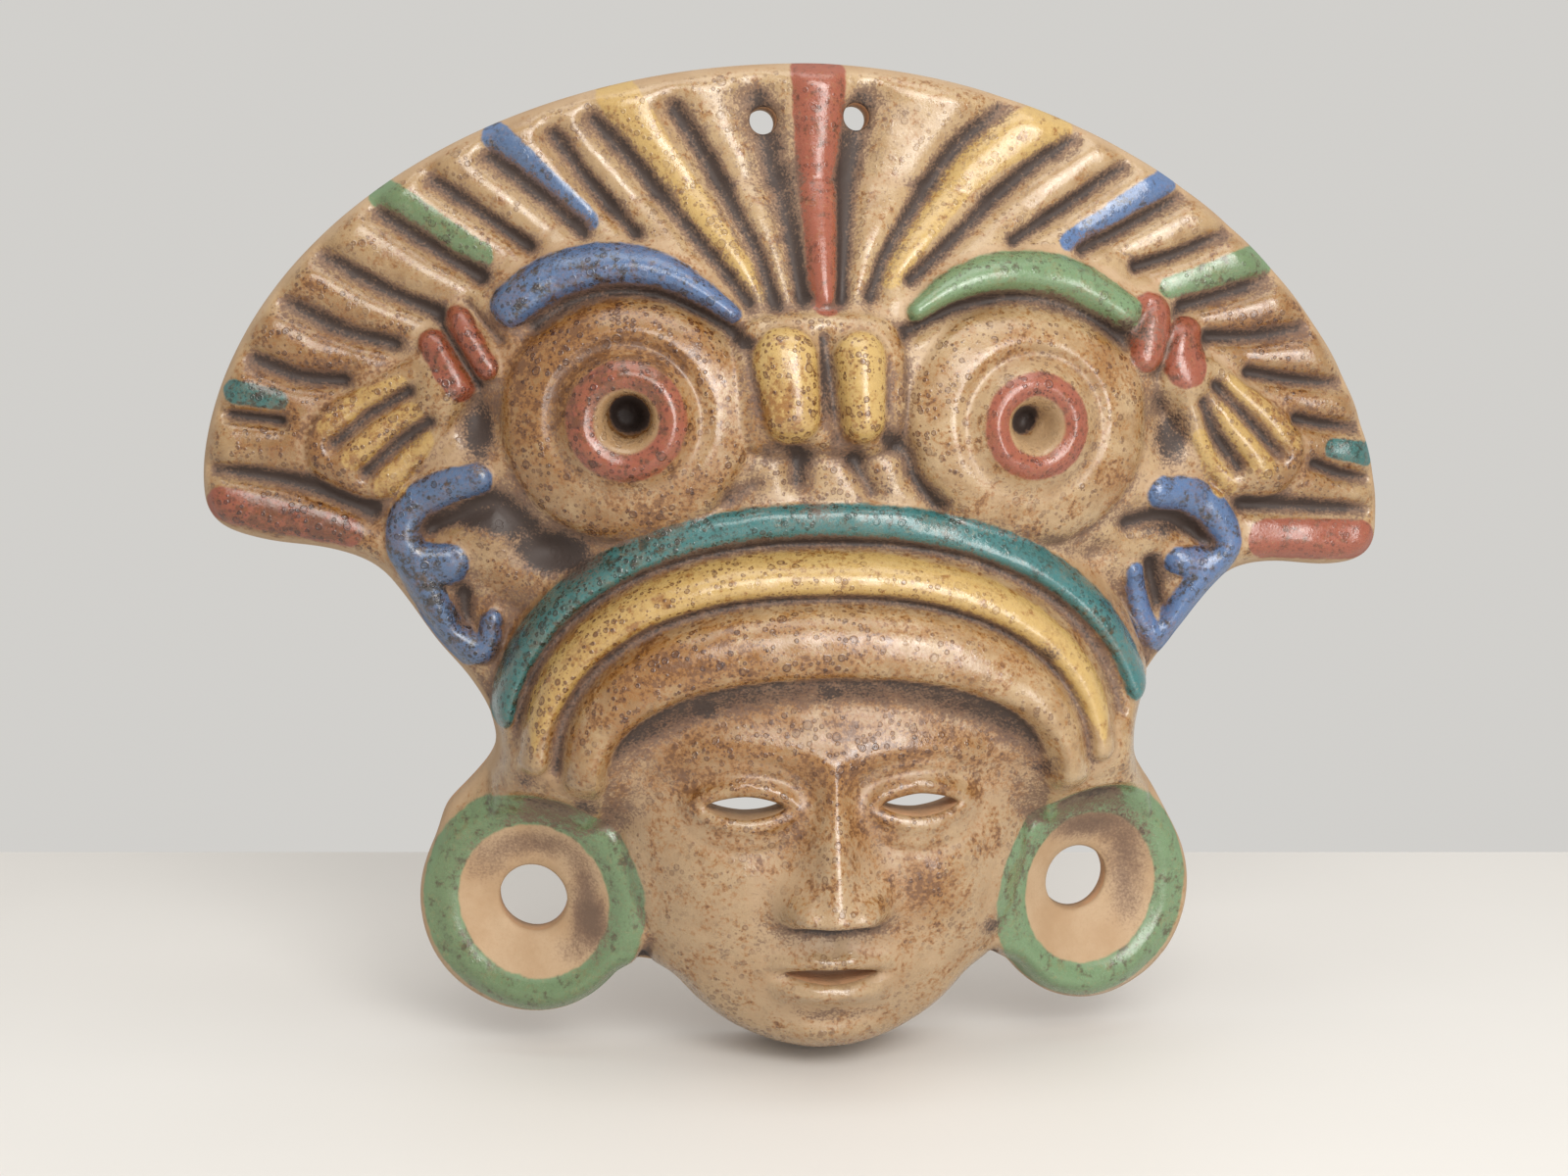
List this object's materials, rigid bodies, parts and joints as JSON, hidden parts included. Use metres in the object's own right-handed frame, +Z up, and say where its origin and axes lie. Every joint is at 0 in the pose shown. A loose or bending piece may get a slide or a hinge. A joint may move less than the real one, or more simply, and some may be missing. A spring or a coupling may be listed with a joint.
{
  "type": "terracotta wall mask",
  "caption": "Hollow fired-clay wall mask with painted relief: a feathered fan over a round-eyed creature's head, a calm face looking out below it between ear discs, flat rim and hanging holes.",
  "frame": {"origin": "on the flat back that lies against the wall, midway between the two hanging holes at the top", "axes": "+Y out of the back into the wall, so the front faces -Y; +X to the viewer's right along the fan's width; +Z up"},
  "size_m": [0.2801, 0.0544, 0.2344],
  "materials": {
    "clay": "tan fired clay, antiqued brown, painted in muted colours and varnished to a satin gloss on the front"
  },
  "bodies": {
    "root": {"mask": "clay"}
  },
  "joints": []
}
